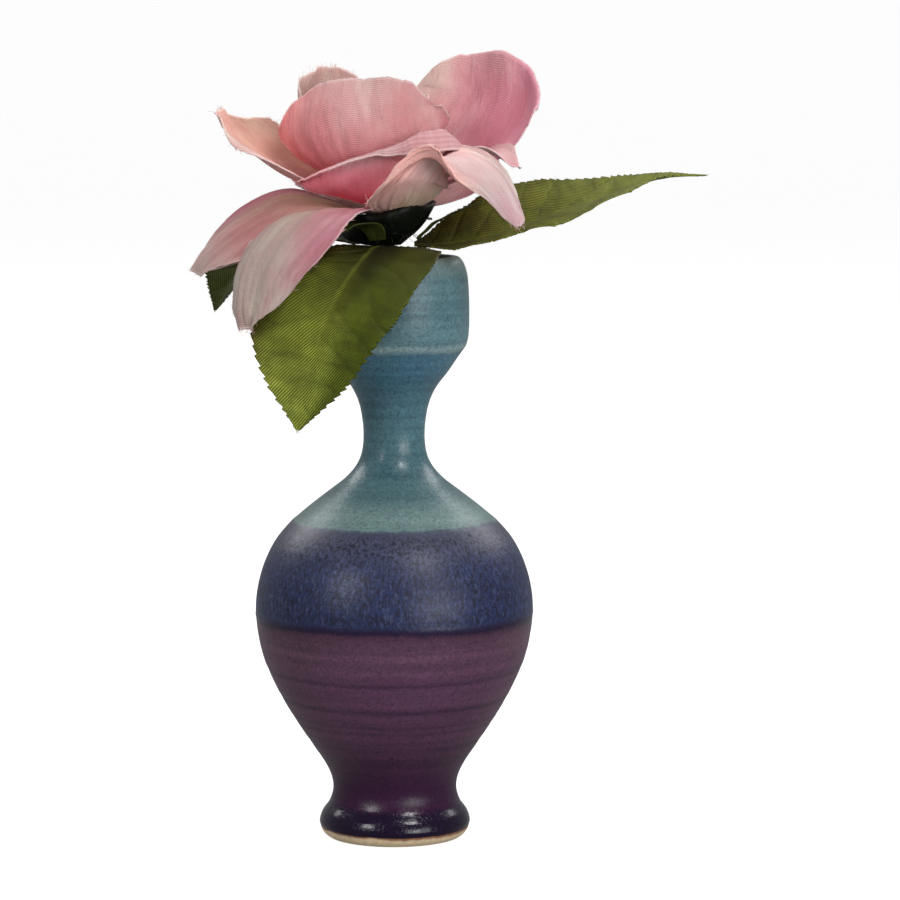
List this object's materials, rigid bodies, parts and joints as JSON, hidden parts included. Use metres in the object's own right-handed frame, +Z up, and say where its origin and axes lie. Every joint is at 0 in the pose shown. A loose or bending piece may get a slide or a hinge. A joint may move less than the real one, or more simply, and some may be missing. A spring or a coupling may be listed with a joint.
{
  "type": "ceramic bud vase",
  "caption": "Small wheel-thrown bud vase with a round belly, narrow neck and cup-shaped mouth, holding a removable artificial cloth rose.",
  "frame": {"origin": "centre of the vase's flat foot, on the surface that it stands on", "axes": "+Z up along the vase's axis of turning, -Y to the front, where the drooping front leaf hangs, +X to the right, where the long leaf points"},
  "size_m": [0.1309, 0.0867, 0.2015],
  "materials": {
    "stoneware": "satin glaze in plum, denim blue and teal bands",
    "wire": "drawn",
    "green_plastic": "moulded",
    "leaf_cloth": "stiffened satin weave",
    "petal_cloth": "stiffened satin weave, dyed pink to cream"
  },
  "bodies": {
    "vase": {"vase_body": "stoneware"},
    "stem": {"stem_wire": "wire", "stem_sleeve": "green_plastic"},
    "head": {"leaf_collar": "green_plastic", "petiole_front": "green_plastic", "petiole_right": "green_plastic", "petiole_left": "green_plastic", "leaf_front": "leaf_cloth", "leaf_right": "leaf_cloth", "leaf_left": "leaf_cloth", "calyx_cup": "green_plastic", "sepal_1": "green_plastic", "sepal_2": "green_plastic", "sepal_3": "green_plastic", "sepal_4": "green_plastic", "sepal_5": "green_plastic", "receptacle": "green_plastic", "outer_petal_1": "petal_cloth", "outer_petal_2": "petal_cloth", "outer_petal_3": "petal_cloth", "outer_petal_4": "petal_cloth", "outer_petal_5": "petal_cloth", "middle_petal_1": "petal_cloth", "middle_petal_2": "petal_cloth", "middle_petal_3": "petal_cloth", "middle_petal_4": "petal_cloth", "middle_petal_5": "petal_cloth", "inner_petal_1": "petal_cloth", "inner_petal_2": "petal_cloth", "inner_petal_3": "petal_cloth", "inner_petal_4": "petal_cloth", "bud_petal_1": "petal_cloth", "bud_petal_2": "petal_cloth", "bud_petal_3": "petal_cloth", "bud_core": "petal_cloth"}
  },
  "joints": [
    {"name": "rose_lift", "type": "slide", "parent": "vase", "child": "stem", "axis": [0, 0, 1], "range_m": [0, 0.15]},
    {"name": "head_turn", "type": "hinge", "parent": "stem", "child": "head", "pos_m": [-0.0028, 0, 0.152], "axis": [0, 0, 1], "continuous": true}
  ]
}
